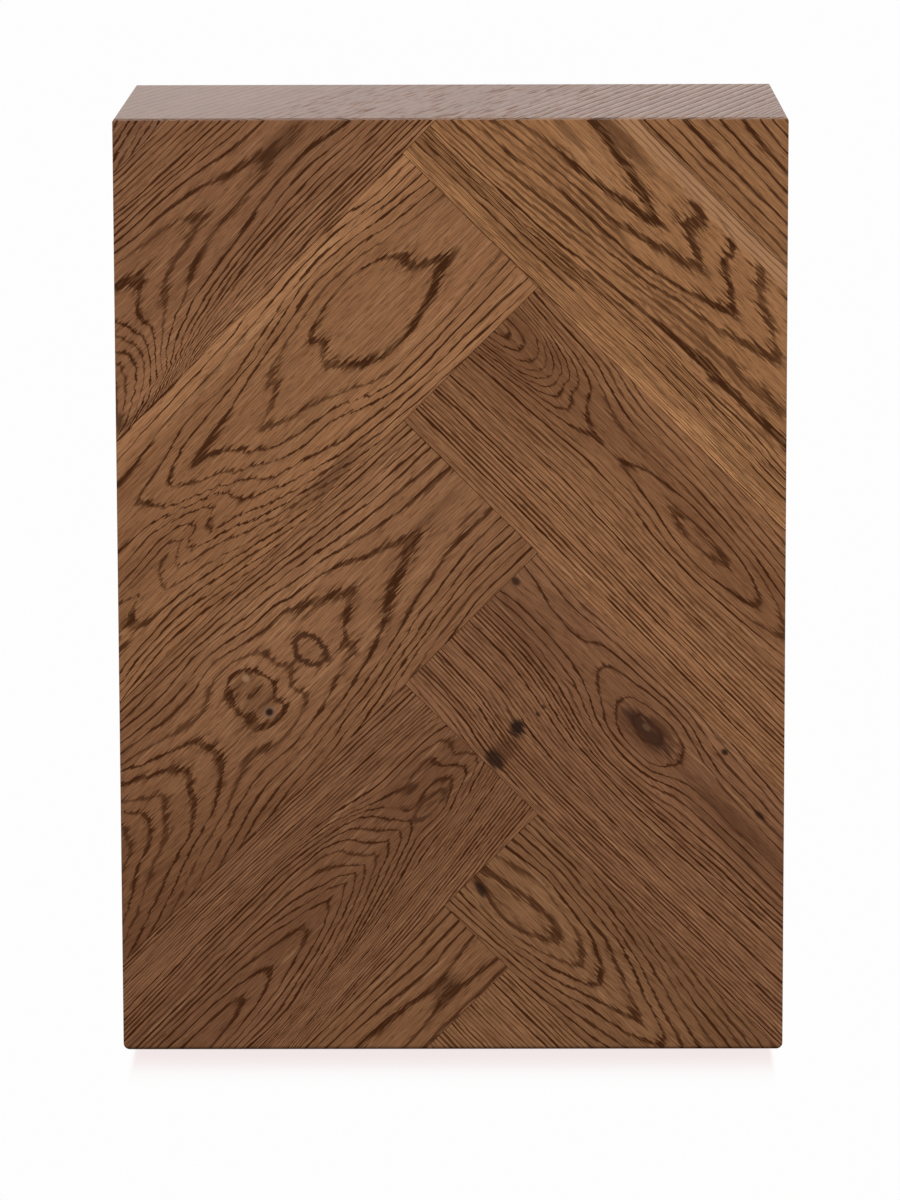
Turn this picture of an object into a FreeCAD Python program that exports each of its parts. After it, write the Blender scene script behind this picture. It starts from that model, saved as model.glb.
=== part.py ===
import FreeCAD, Part
import math
import os

os.makedirs("parts", exist_ok=True)

# All sizes in millimetres, angles in degrees.

# The whole block
block_width = 425.0
block_height = 600.0
block_depth = 260.0
lower_corner_radius = 4.0
upper_corner_radius = 1.0
face_arris = 0.9

# Oak staves of the herringbone front
stave_width = 120.0
stave_thickness = 14.0
stave_arris = 0.4
laying_angle = 45.0
joint_clearance = 0.1
first_joint_x = -30.0
first_joint_drop = 21.0

# The last rows at the foot are closed by two ripped staves
closing_rows = 2
closing_right_width = 85.0
closing_left_width = 58.0

# Tongue and groove along the stave edges
tongue_length = 4.0
tongue_thickness = 4.0
tongue_clearance = 0.2

# Mitred box behind the staves
panel_thickness = 18.0
rebate_width = 9.0
backing_thickness = 12.0
back_thickness = 8.0
board_clearance = 0.3

# Depth levels, front to back
front_y = -block_depth / 2
bed_y = front_y + stave_thickness
backing_y = bed_y + backing_thickness
rear_y = block_depth / 2
back_panel_y = rear_y - back_thickness
tongue_front_y = (front_y + bed_y - tongue_thickness) / 2
tongue_rear_y = tongue_front_y + tongue_thickness

tolerance = 1e-6


def outline_prism(points, y_from, y_to):
    """A straight-sided solid from corner points in the plane of the front."""
    corners = [FreeCAD.Vector(point.x, y_from, point.z) for point in points]
    face = Part.Face(Part.makePolygon(corners + corners[:1]))
    return face.extrude(FreeCAD.Vector(0, y_to - y_from, 0))


def upright_box(x_from, x_to, y_from, y_to, z_from, z_to):
    size = FreeCAD.Vector(x_to - x_from, y_to - y_from, z_to - z_from)
    return Part.makeBox(size.x, size.y, size.z, FreeCAD.Vector(x_from, y_from, z_from))


def lies_at_depth(edge, depth):
    box = edge.BoundBox
    return abs(box.YMin - depth) < tolerance and abs(box.YMax - depth) < tolerance


def edges_at_height(shape, height):
    """Edges that run front to back at one height."""
    level = []
    for edge in shape.Edges:
        box = edge.BoundBox
        if box.YLength > tolerance and max(abs(box.ZMin - height), abs(box.ZMax - height)) < tolerance:
            level.append(edge)
    return level


def block_envelope():
    """The outer shape: rounder at the two lower corners, all edges eased."""
    half = block_width / 2
    block = upright_box(-half, half, front_y, rear_y, 0, block_height)
    block = block.makeFillet(lower_corner_radius, edges_at_height(block, 0))
    block = block.makeFillet(upper_corner_radius, edges_at_height(block, block_height))
    rims = [edge for edge in block.Edges if lies_at_depth(edge, front_y) or lies_at_depth(edge, rear_y)]
    return block.makeFillet(face_arris, rims)


# Directions in the plane of the front: right-hand staves run down to the right,
# left-hand staves run down to the left, square to them.
angle = math.radians(laying_angle)
down_right = FreeCAD.Vector(math.cos(angle), 0, -math.sin(angle))
down_left = FreeCAD.Vector(-math.sin(angle), 0, -math.cos(angle))
stave_reach = block_width + block_height


def stave_prism(corner, along, across, along_span, across_span, y_span):
    points = []
    for length, breadth in (
        (along_span[0], across_span[0]),
        (along_span[1], across_span[0]),
        (along_span[1], across_span[1]),
        (along_span[0], across_span[1]),
    ):
        points.append(corner + along * length + across * breadth)
    return outline_prism(points, y_span[0], y_span[1])


def stave_body(corner, along, across, width):
    """A plain stave from its inner upper corner, with its face edges eased."""
    gap = joint_clearance / 2
    body = stave_prism(
        corner, along, across, (gap, stave_reach), (gap, width - gap), (front_y, bed_y)
    )
    face_edges = []
    for edge in body.Edges:
        run = (edge.CenterOfMass - corner).dot(along)
        if lies_at_depth(edge, front_y) and run < stave_reach - tolerance:
            face_edges.append(edge)
    return body.makeChamfer(stave_arris, face_edges)


def add_tongue_and_groove(body, corner, along, across, width):
    """A tongue on the upper side and the inner end, a groove on the lower side."""
    gap = joint_clearance / 2
    tongue_y = (tongue_front_y, tongue_rear_y)
    side_tongue = stave_prism(
        corner, along, across, (gap, stave_reach), (gap - tongue_length, gap), tongue_y
    )
    end_tongue = stave_prism(
        corner, along, across, (gap - tongue_length, gap), (gap, width - gap), tongue_y
    )
    groove = stave_prism(
        corner,
        along,
        across,
        (gap - tongue_length, stave_reach),
        (width - gap - tongue_length - tongue_clearance, width),
        (tongue_front_y - tongue_clearance, tongue_rear_y + tongue_clearance),
    )
    return body.fuse([side_tongue, end_tongue]).cut(groove).removeSplitter()


def row_widths(row, first_closing_row):
    """Widths of the left and the right stave of a row."""
    if row == first_closing_row:
        return stave_width, closing_right_width
    if row == first_closing_row + 1:
        return closing_left_width, stave_width
    return stave_width, stave_width


def stave_name(hand, row):
    """Rows count down from the first joint, and head rows count up from it."""
    if row < 0:
        return f"head_stave_{hand}_{-row}"
    return f"stave_{hand}_{row + 1}"


def herringbone(envelope):
    """All staves of the front, cut to the outline of the block."""
    staves = {}
    row_step = (down_right + down_left) * stave_width
    rows_to_foot = math.ceil((block_height - first_joint_drop) / -row_step.z)
    rows_above = math.ceil(stave_reach / row_step.Length)
    corner = FreeCAD.Vector(first_joint_x, 0, block_height - first_joint_drop)
    corner = corner - row_step * rows_above
    for row in range(-rows_above, rows_to_foot + 1):
        left_width, right_width = row_widths(row, rows_to_foot - closing_rows)
        for hand, along, across, width in (
            ("left", down_left, down_right, left_width),
            ("right", down_right, down_left, right_width),
        ):
            body = stave_body(corner, along, across, width)
            if body.common(envelope).Volume > stave_thickness**3:
                jointed = add_tongue_and_groove(body, corner, along, across, width)
                staves[stave_name(hand, row)] = jointed.common(envelope)
            corner = corner + across * width
    return staves


def carcass(envelope):
    """Four mitred panels, the board that carries the staves and the back panel."""
    half = block_width / 2
    inner_half = half - panel_thickness
    inner_top = block_height - panel_thickness
    rebate_half = inner_half + rebate_width
    rebate_base = panel_thickness - rebate_width
    rebate_top = inner_top + rebate_width
    ring = envelope.common(upright_box(-half, half, bed_y, rear_y, 0, block_height))
    ring = ring.cut(upright_box(-inner_half, inner_half, bed_y, rear_y, panel_thickness, inner_top))
    ring = ring.cut(upright_box(-rebate_half, rebate_half, bed_y, backing_y, rebate_base, rebate_top))
    ring = ring.cut(upright_box(-rebate_half, rebate_half, back_panel_y, rear_y, rebate_base, rebate_top))

    outer = {
        "lower_left": FreeCAD.Vector(-half, 0, 0),
        "lower_right": FreeCAD.Vector(half, 0, 0),
        "upper_right": FreeCAD.Vector(half, 0, block_height),
        "upper_left": FreeCAD.Vector(-half, 0, block_height),
    }
    inner = {
        "lower_left": FreeCAD.Vector(-inner_half, 0, panel_thickness),
        "lower_right": FreeCAD.Vector(inner_half, 0, panel_thickness),
        "upper_right": FreeCAD.Vector(inner_half, 0, inner_top),
        "upper_left": FreeCAD.Vector(-inner_half, 0, inner_top),
    }
    pieces = {}
    for name, first, second in (
        ("base_panel", "lower_left", "lower_right"),
        ("side_panel_right", "lower_right", "upper_right"),
        ("top_panel", "upper_right", "upper_left"),
        ("side_panel_left", "upper_left", "lower_left"),
    ):
        wedge = [outer[first], outer[second], inner[second], inner[first]]
        pieces[name] = ring.common(outline_prism(wedge, bed_y, rear_y))

    board_half = rebate_half - board_clearance
    board_base = rebate_base + board_clearance
    board_top = rebate_top - board_clearance
    pieces["backing_board"] = upright_box(-board_half, board_half, bed_y, backing_y, board_base, board_top)
    pieces["back_panel"] = upright_box(
        -board_half, board_half, back_panel_y, rear_y, board_base, board_top
    )
    return pieces


envelope = block_envelope()
pieces = herringbone(envelope)
pieces.update(carcass(envelope))

for name, shape in pieces.items():
    solids = shape.Solids
    print(f"{name}: {len(solids)} solid, {shape.Volume / 1000:.1f} cm3, valid {shape.isValid()}")
    solids[0].exportStep(f"parts/{name}.step")
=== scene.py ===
import math

import bpy
import numpy as np
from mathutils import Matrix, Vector


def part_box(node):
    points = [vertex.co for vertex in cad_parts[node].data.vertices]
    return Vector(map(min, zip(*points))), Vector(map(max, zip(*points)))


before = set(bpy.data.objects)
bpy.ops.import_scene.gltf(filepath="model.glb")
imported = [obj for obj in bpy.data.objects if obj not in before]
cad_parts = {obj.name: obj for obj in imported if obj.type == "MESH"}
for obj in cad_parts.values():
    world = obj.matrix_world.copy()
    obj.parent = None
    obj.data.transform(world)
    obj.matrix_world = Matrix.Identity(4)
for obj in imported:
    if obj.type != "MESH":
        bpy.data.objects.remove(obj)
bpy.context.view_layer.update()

# The block, in metres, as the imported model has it
FRONT_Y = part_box("stave_left_1")[0][1]
TOP_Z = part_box("top_panel")[1][2]
HALF_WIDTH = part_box("side_panel_right")[1][0]
STAVE_WIDTH = 0.12
CLOSING_WIDTHS = {"stave_right_3": 0.085, "stave_left_4": 0.058}
FIRST_JOINT = Vector((-0.03, FRONT_Y, TOP_Z - 0.021))
MILLIMETRES = 1000.0

DOWN_RIGHT = Vector((1, 0, -1)).normalized()
DOWN_LEFT = Vector((-1, 0, -1)).normalized()
RIGHT, UP, INWARD = Vector((1, 0, 0)), Vector((0, 0, 1)), Vector((0, 1, 0))

# Rings are counted on levels across a stave and at stations along it, in mm
CURVE_LENGTH = 420.0
STATIONS = 57
BREADTH = 120.0
LEVELS = 27
LEVEL_PITCH = BREADTH / (LEVELS - 1)

# Growth lines run far along the grain and little across it, so lengths along it are divided by the
# stretch. Points are set on a line at even steps, and the sheet bent over them may ease off them
GRAIN_STRETCH = 4.0
LINE_STEP = 7.0
LINE_EASE = 2.0
TINY = 1e-9

# Blotches of the grain in mm: along the board, into it and across it
TIP_BLOTCH = (40.0, 40.0, 6.0)
SIDE_BLOTCH = (20.0, 7.0, 3.2)
FRAY_BLOTCH = (13.0, 1.3, 1.2)
SWAY_BLOTCH = (420.0, 60.0, 42.0)
FIBRE_BLOTCH = (18.0, 0.8, 0.45)
PORE_BLOTCH = (8.0, 0.8, 0.55)
CLOUD_BLOTCH = (120.0, 30.0, 14.0)
STREAK_BLOTCH = (90.0, 5.0, 1.8)
FADE_BLOTCH = (50.0, 20.0, 5.0)
DASH_BLOTCH = (34.0, 6.0, 2.6)

# How far a seed shifts the noise, and steps of the seed that keep a board's patterns apart
SEED_SHIFT = (7.31, 3.17, 5.83)
PORE_SEED, FADE_SEED, STREAK_SEED = 3.7, 5.1, 8.2

# A growth line fades out between these shares of its half width, made ragged by the fibres
LINE_EDGE = (1.15, 0.7)
LINE_RAGGED = 1.6
BETWEEN_WIDTH = 0.75

# Rings per mm at which lines turn fine, get others between them, or form the tip of an arch
FINE_SLOPE = (0.18, 0.36)
CROWDED_SLOPE = (0.07, 0.11)
TIP_SLOPE = (0.17, 0.06)

# Ramps from one level of noise to another, and the shares at both ends where they aren't 0 and 1
LINE_WIDENS = (0.3, 0.7, 0.65, 1.35)
LINE_FADES = (0.3, 0.5, 0.7, 1.0)
LINE_CHANCE = (0.0, 0.7, 0.72, 1.0)
FINE_CHANCE = (0.0, 0.8, 0.6, 1.05)
TIP_GAPS = (0.5, 0.38, 0.0, 0.4)
FEATHER_FRAY = (0.48, 0.6)
PORE_LEVEL = (0.57, 0.72)
STREAK_LEVEL = (0.55, 0.75)
DASH_LEVEL = (0.56, 0.64)
CLOUD_TONE = (0.25, 0.75, 0.92, 1.12)
FIBRE_TONE = (0.34, 0.66, 0.82, 1.36)

# Feathers reach this many half widths from a line, and pores are this hollow beside a line's 1
FEATHER_REACH = (3.4, 0.7)
PORE_HOLLOW = 0.7

# Red follows the tone of the wood a little less, and blue a little more: slope and rest
RED_TONE, BLUE_TONE = (0.87, 0.13), (1.05, -0.05)

# A spot fades out between these shares of its half size, and a loop's line beside its outline
SPOT_EDGE, LOOP_EDGE = (1.3, 0.5), (0.3, 0.1)

# Raised lines of the top and the shade beside them fade out between these shares of a ring
RAISED_EDGE, SHADED_EDGE, SHADED_STEP = (0.17, 0.06), (0.2, 0.06), 0.26

# Roughness of the wood and of its open grain, depth of the relief in metres, gloss as an index
WOOD_ROUGHNESS, GRAIN_ROUGHNESS, SHEEN_ROUGHNESS = 0.46, 0.62, 0.35
RELIEF_DEPTH, RELIEF = 0.0004, 0.35
GLOSS = 1.13


# ---------------------------------------------------------------- node helpers


def join(tree, source, socket):
    """Feed a socket from another socket or set its own value."""
    if isinstance(source, bpy.types.NodeSocket):
        tree.links.new(source, socket)
    else:
        socket.default_value = source


def add_node(tree, kind, settings=None, inputs=None):
    node = tree.nodes.new(kind)
    for name, value in (settings or {}).items():
        setattr(node, name, value)
    for name, source in (inputs or {}).items():
        join(tree, source, node.inputs[name])
    return node


def calculate(tree, operation, *terms):
    node = add_node(tree, "ShaderNodeMath", {"operation": operation})
    for term, socket in zip(terms, node.inputs):
        join(tree, term, socket)
    return node.outputs[0]


def multiply(tree, first, second):
    return calculate(tree, "MULTIPLY", first, second)


def combine_vectors(tree, operation, *terms):
    node = add_node(tree, "ShaderNodeVectorMath", {"operation": operation})
    for term, socket in zip(terms, node.inputs):
        join(tree, term, socket)
    return node.outputs["Value" if operation == "DOT_PRODUCT" else "Vector"]


def gather(tree, *terms):
    """Three numbers as one vector."""
    return add_node(tree, "ShaderNodeCombineXYZ", inputs=dict(enumerate(terms))).outputs[0]


def ramp_between(tree, value, low, high, out_low=0.0, out_high=1.0):
    """A smooth step of a value from one level to another."""
    node = add_node(
        tree,
        "ShaderNodeMapRange",
        {"interpolation_type": "SMOOTHSTEP"},
        {"Value": value, "From Min": low, "From Max": high, "To Min": out_low, "To Max": out_high},
    )
    return node.outputs["Result"]


def blend_colours(tree, factor, first, second, mode="MIX"):
    """Two colours mixed, on the sockets that a mix node keeps for colours."""
    node = add_node(tree, "ShaderNodeMix", {"data_type": "RGBA", "blend_type": mode})
    join(tree, factor, node.inputs[0])
    join(tree, first, node.inputs[6])
    join(tree, second, node.inputs[7])
    return node.outputs[2]


def grain_noise(tree, board, seed, blotch, detail=2.0):
    """Noise drawn out along the grain, in blotches of one size in mm."""
    stretched = combine_vectors(tree, "MULTIPLY", board, tuple(1 / length for length in blotch))
    shift = combine_vectors(tree, "MULTIPLY", seed, SEED_SHIFT)
    place = combine_vectors(tree, "ADD", stretched, shift)
    sockets = {"Vector": place, "Scale": 1.0, "Detail": detail}
    return add_node(tree, "ShaderNodeTexNoise", {"noise_dimensions": "3D"}, sockets).outputs[0]


def new_group(name, inputs, outputs):
    group = bpy.data.node_groups.new(name, "ShaderNodeTree")
    for label, kind, default in inputs:
        socket = group.interface.new_socket(label, in_out="INPUT", socket_type=f"NodeSocket{kind}")
        if default is not None:
            socket.default_value = default
    for label, kind in outputs:
        group.interface.new_socket(label, in_out="OUTPUT", socket_type=f"NodeSocket{kind}")
    return group, group.nodes.new("NodeGroupInput").outputs, group.nodes.new("NodeGroupOutput").inputs


def place_group(tree, group, inputs):
    node = add_node(tree, "ShaderNodeGroup", {"node_tree": group}, inputs)
    return node.outputs


# ---------------------------------------------------------------- oak groups


def make_board_axes():
    """Turns a point of the block into a board's own millimetres: along, deep, across."""
    group, given, result = new_group(
        "board axes",
        [
            ("Point", "Vector", None),
            ("Origin", "Vector", None),
            ("Along", "Vector", None),
            ("Deep", "Vector", None),
            ("Across", "Vector", None),
        ],
        [("Board", "Vector")],
    )
    offset = combine_vectors(group, "SUBTRACT", given["Point"], given["Origin"])
    offset = combine_vectors(group, "MULTIPLY", offset, (MILLIMETRES, MILLIMETRES, MILLIMETRES))
    axes = [given[name] for name in ("Along", "Deep", "Across")]
    shares = [combine_vectors(group, "DOT_PRODUCT", offset, axis) for axis in axes]
    join(group, gather(group, *shares), result["Board"])
    return group


def make_grain_drift():
    """Lets the figure wander, and hatches its tips along the grain."""
    group, given, result = new_group(
        "grain drift",
        [
            ("Board", "Vector", None),
            ("Seed", "Float", 0.0),
            ("Tip wander", "Float", 5.0),
            ("Hatch", "Float", 8.0),
            ("Side wander", "Float", 2.6),
            ("Tilt", "Float", 0.4),
        ],
        [("Along", "Float"), ("Across", "Float"), ("Fray", "Float")],
    )
    board, seed = given["Board"], given["Seed"]
    parts = add_node(group, "ShaderNodeSeparateXYZ", inputs={0: board}).outputs

    def drifted(place, noise, reach):
        return calculate(group, "MULTIPLY_ADD", calculate(group, "SUBTRACT", noise, 0.5), reach, place)

    along = drifted(parts[0], grain_noise(group, board, seed, TIP_BLOTCH, 1.0), given["Tip wander"])
    fray = grain_noise(group, board, seed, FRAY_BLOTCH, 1.0)
    along = drifted(along, fray, given["Hatch"])
    across = drifted(parts[2], grain_noise(group, board, seed, SIDE_BLOTCH), given["Side wander"])
    across = calculate(group, "MULTIPLY_ADD", parts[1], given["Tilt"], across)
    join(group, along, result["Along"])
    join(group, across, result["Across"])
    join(group, fray, result["Fray"])
    return group


def make_ring_levels():
    """Weighs three neighbouring levels of a ring count by how near each one lies."""
    group, given, result = new_group(
        "ring levels",
        [("Counts", "Vector", None), ("Places", "Vector", None), ("Levels", "Vector", None)],
        [("Here", "Float"), ("Change", "Float")],
    )
    places = add_node(group, "ShaderNodeSeparateXYZ", inputs={0: given["Places"]}).outputs
    weights = []
    for place in places:
        gap = combine_vectors(group, "SUBTRACT", gather(group, place, place, place), given["Levels"])
        weight = combine_vectors(group, "SUBTRACT", (1, 1, 1), combine_vectors(group, "ABSOLUTE", gap))
        weights.append(combine_vectors(group, "MAXIMUM", weight, (0, 0, 0)))
    here, above, below = weights
    change = combine_vectors(group, "SUBTRACT", below, above)
    join(group, combine_vectors(group, "DOT_PRODUCT", here, given["Counts"]), result["Here"])
    join(group, combine_vectors(group, "DOT_PRODUCT", change, given["Counts"]), result["Change"])
    return group


def make_plain_growth():
    """Even growth lines of a plain board that sway slowly, twice as many beyond a place across it."""
    group, given, result = new_group(
        "plain growth",
        [
            ("Board", "Vector", None),
            ("Across", "Float", 0.0),
            ("Seed", "Float", 0.0),
            ("Pitch", "Float", 8.0),
            ("Sway", "Float", 0.0),
            ("Crowded from", "Float", 1000.0),
        ],
        [("Ring", "Float"), ("Slope", "Float")],
    )
    sway = grain_noise(group, given["Board"], given["Seed"], SWAY_BLOTCH, 1.0)
    sway = calculate(group, "SUBTRACT", sway, 0.5)
    across = calculate(group, "MULTIPLY_ADD", sway, given["Sway"], given["Across"])
    beyond = calculate(group, "MAXIMUM", calculate(group, "SUBTRACT", across, given["Crowded from"]), 0.0)
    across = calculate(group, "ADD", across, beyond)
    join(group, calculate(group, "DIVIDE", across, given["Pitch"]), result["Ring"])
    join(group, calculate(group, "DIVIDE", 1.0, given["Pitch"]), result["Slope"])
    return group


def make_stained_oak():
    """Brown stain on brushed oak: growth lines, fibres, pores and light streaks."""
    group, given, result = new_group(
        "stained oak",
        [
            ("Board", "Vector", None),
            ("Ring", "Float", 0.0),
            ("Slope", "Float", 0.1),
            ("Fray", "Float", 0.5),
            ("Tone", "Float", 1.0),
            ("Seed", "Float", 0.0),
            ("Wood", "Color", (0.2, 0.09, 0.04, 1)),
            ("Line", "Color", (0.045, 0.0125, 0.0025, 1)),
            ("Streak", "Color", (0.33, 0.175, 0.085, 1)),
            ("Tip line", "Float", 0.13),
            ("Side line", "Float", 0.6),
            ("Fine width", "Float", 0.22),
            ("Fine line", "Float", 0.95),
            ("Between", "Float", 0.0),
            ("Line strength", "Float", 0.97),
            ("Streak strength", "Float", 0.5),
            ("Pore strength", "Float", 0.5),
            ("Feather strength", "Float", 0.9),
        ],
        [("Color", "Color"), ("Roughness", "Float"), ("Fibre height", "Float"), ("Line", "Float")],
    )
    board, seed, ring, slope = given["Board"], given["Seed"], given["Ring"], given["Slope"]
    fibre = grain_noise(group, board, seed, FIBRE_BLOTCH)
    pore = grain_noise(group, board, calculate(group, "ADD", seed, PORE_SEED), PORE_BLOTCH, 1.0)
    cloud = grain_noise(group, board, seed, CLOUD_BLOTCH, 3.0)
    streak = grain_noise(group, board, calculate(group, "ADD", seed, STREAK_SEED), STREAK_BLOTCH, 3.0)
    fade = grain_noise(group, board, calculate(group, "ADD", seed, FADE_SEED), FADE_BLOTCH)

    # A line at every whole ring, wider where the rings lie far apart
    distance = calculate(group, "PINGPONG", ring, 0.5)
    width = calculate(group, "MINIMUM", multiply(group, slope, given["Side line"]), given["Fine width"])
    width = calculate(group, "MAXIMUM", width, given["Tip line"])
    width = multiply(group, width, ramp_between(group, fade, *LINE_WIDENS))
    near = calculate(group, "DIVIDE", distance, width)
    ragged = calculate(group, "MULTIPLY_ADD", calculate(group, "SUBTRACT", fibre, 0.5), LINE_RAGGED, near)
    line = ramp_between(group, ragged, *LINE_EDGE)

    # Thinner lines halfway between them where they are crowded
    halfway = calculate(group, "SUBTRACT", 0.5, distance)
    halfway = calculate(group, "DIVIDE", halfway, multiply(group, width, BETWEEN_WIDTH))
    halfway = calculate(group, "ADD", halfway, calculate(group, "SUBTRACT", ragged, near))
    crowded = ramp_between(group, slope, *CROWDED_SLOPE)
    halfway = multiply(group, ramp_between(group, halfway, *LINE_EDGE), crowded)
    halfway = multiply(group, halfway, given["Between"])
    line = calculate(group, "MAXIMUM", line, halfway)

    # Each line has its own strength, and fades here and there
    ring_number = calculate(group, "ADD", calculate(group, "ROUND", ring), seed)
    chance = add_node(group, "ShaderNodeTexWhiteNoise", {"noise_dimensions": "1D"}, {"W": ring_number})
    chance = chance.outputs["Value"]
    line = multiply(group, line, ramp_between(group, chance, *LINE_CHANCE))
    line = multiply(group, line, ramp_between(group, fade, *LINE_FADES))
    fine = multiply(group, given["Fine line"], ramp_between(group, chance, *FINE_CHANCE))
    line = multiply(group, line, ramp_between(group, slope, *FINE_SLOPE, 1.0, fine))

    # Tips of arches are frayed along the grain
    tip = ramp_between(group, slope, *TIP_SLOPE)
    gaps = multiply(group, tip, ramp_between(group, given["Fray"], *TIP_GAPS))
    line = multiply(group, line, calculate(group, "SUBTRACT", 1.0, gaps))
    feather = multiply(group, ramp_between(group, near, *FEATHER_REACH), tip)
    feather = multiply(group, feather, ramp_between(group, given["Fray"], *FEATHER_FRAY))
    feather = multiply(group, feather, given["Feather strength"])
    line = calculate(group, "MAXIMUM", line, feather)

    # Streaks, clouds and fibres tone the wood, dark wood being redder. Pores and lines go on top
    pore_mask = ramp_between(group, pore, *PORE_LEVEL)
    streak_mask = ramp_between(group, streak, *STREAK_LEVEL)
    level = multiply(group, given["Tone"], ramp_between(group, cloud, *CLOUD_TONE))
    level = multiply(group, level, ramp_between(group, fibre, *FIBRE_TONE))
    red_level = calculate(group, "MULTIPLY_ADD", level, *RED_TONE)
    blue_level = calculate(group, "MULTIPLY_ADD", level, *BLUE_TONE)
    streaks = multiply(group, streak_mask, given["Streak strength"])
    pores = multiply(group, pore_mask, given["Pore strength"])
    lines = multiply(group, line, given["Line strength"])
    colour = blend_colours(group, streaks, given["Wood"], given["Streak"])
    colour = blend_colours(group, 1.0, colour, gather(group, red_level, level, blue_level), "MULTIPLY")
    colour = blend_colours(group, pores, colour, given["Line"])
    colour = blend_colours(group, lines, colour, given["Line"])
    join(group, colour, result["Color"])

    hollow = calculate(group, "MAXIMUM", line, multiply(group, pore_mask, PORE_HOLLOW))
    join(group, ramp_between(group, hollow, 0.0, 1.0, WOOD_ROUGHNESS, GRAIN_ROUGHNESS), result["Roughness"])
    join(group, calculate(group, "SUBTRACT", fibre, pore), result["Fibre height"])
    join(group, line, result["Line"])
    return group


def make_oak_spot():
    """A knot, a pit or a smear of stain at one place on a board, or only its outline where hollow."""
    group, given, result = new_group(
        "oak spot",
        [
            ("Color", "Color", None),
            ("Along", "Float", 0.0),
            ("Across", "Float", 0.0),
            ("Fray", "Float", 0.5),
            ("Centre", "Vector", None),
            ("Size", "Vector", None),
            ("Spot", "Color", (0.02, 0.009, 0.005, 1)),
            ("Strength", "Float", 0.9),
            ("Ragged", "Float", 1.6),
            ("Hollow", "Float", 0.0),
        ],
        [("Color", "Color")],
    )
    place = gather(group, given["Along"], given["Across"], 0.0)
    offset = combine_vectors(group, "SUBTRACT", place, given["Centre"])
    share = combine_vectors(group, "DIVIDE", offset, given["Size"])
    distance = calculate(group, "SQRT", combine_vectors(group, "DOT_PRODUCT", share, share))
    fray = calculate(group, "SUBTRACT", given["Fray"], 0.5)
    distance = calculate(group, "MULTIPLY_ADD", fray, given["Ragged"], distance)
    filled = ramp_between(group, distance, *SPOT_EDGE)
    rim = calculate(group, "ABSOLUTE", calculate(group, "SUBTRACT", distance, 1.0))
    rim = ramp_between(group, rim, *LOOP_EDGE)
    cover = calculate(group, "SUBTRACT", rim, filled)
    cover = calculate(group, "MULTIPLY_ADD", cover, given["Hollow"], filled)
    cover = multiply(group, cover, given["Strength"])
    join(group, blend_colours(group, cover, given["Color"], given["Spot"]), result["Color"])
    return group


def make_brushed_sheen():
    """Sheen of a brushed board: smooth on the left, short dashes midway, raised lines on the right."""
    group, given, result = new_group(
        "brushed sheen",
        [
            ("Board", "Vector", None),
            ("Across", "Float", 0.0),
            ("Ring", "Float", 0.0),
            ("Seed", "Float", 0.0),
            ("Raised", "Float", 0.5),
            ("Shaded", "Float", -0.4),
            ("Dashes", "Float", -0.42),
        ],
        [("Sheen", "Float")],
    )
    across, ring = given["Across"], given["Ring"]
    # Places across the top in mm, and the sheen at both ends
    lines_grow = (120.0, 290.0)
    dashes_grow, dashes_fade = (30.0, 110.0), (340.0, 220.0)
    sheen_falls = (-60.0, 410.0, 0.62, 0.5)
    raised = ramp_between(group, calculate(group, "PINGPONG", ring, 0.5), *RAISED_EDGE)
    beside = calculate(group, "PINGPONG", calculate(group, "ADD", ring, SHADED_STEP), 0.5)
    shaded = ramp_between(group, beside, *SHADED_EDGE)
    rise = ramp_between(group, across, *lines_grow)
    dash = grain_noise(group, given["Board"], given["Seed"], DASH_BLOTCH, 1.0)
    dash = ramp_between(group, dash, *DASH_LEVEL)
    among = ramp_between(group, across, *dashes_grow)
    among = calculate(group, "MINIMUM", among, ramp_between(group, across, *dashes_fade))
    sheen = ramp_between(group, across, *sheen_falls)
    sheen = calculate(group, "MULTIPLY_ADD", multiply(group, raised, rise), given["Raised"], sheen)
    sheen = calculate(group, "MULTIPLY_ADD", multiply(group, shaded, rise), given["Shaded"], sheen)
    sheen = calculate(group, "MULTIPLY_ADD", multiply(group, dash, among), given["Dashes"], sheen)
    join(group, sheen, result["Sheen"])
    return group


board_axes = make_board_axes()
grain_drift = make_grain_drift()
ring_levels = make_ring_levels()
plain_growth = make_plain_growth()
stained_oak = make_stained_oak()
oak_spot = make_oak_spot()
brushed_sheen = make_brushed_sheen()


# ---------------------------------------------------------------- growth rings


def bending(square):
    """How a thin sheet gives at a distance from where it is held, from the distance squared."""
    return square * np.log(square + TINY)


def distances_squared(first, second):
    return ((first[:, None] - second[None]) ** 2).sum(-1)


def line_points(points):
    """Points at even steps along a growth line, in stretched board lengths."""
    corners = np.array(points, float) / (GRAIN_STRETCH, 1.0)
    steps = [corners[:1]]
    for start, end in zip(corners[:-1], corners[1:]):
        count = max(1, math.ceil(np.linalg.norm(end - start) / LINE_STEP))
        shares = np.arange(1, count + 1)[:, None] / count
        steps.append(start + (end - start) * shares)
    return np.concatenate(steps)


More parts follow.
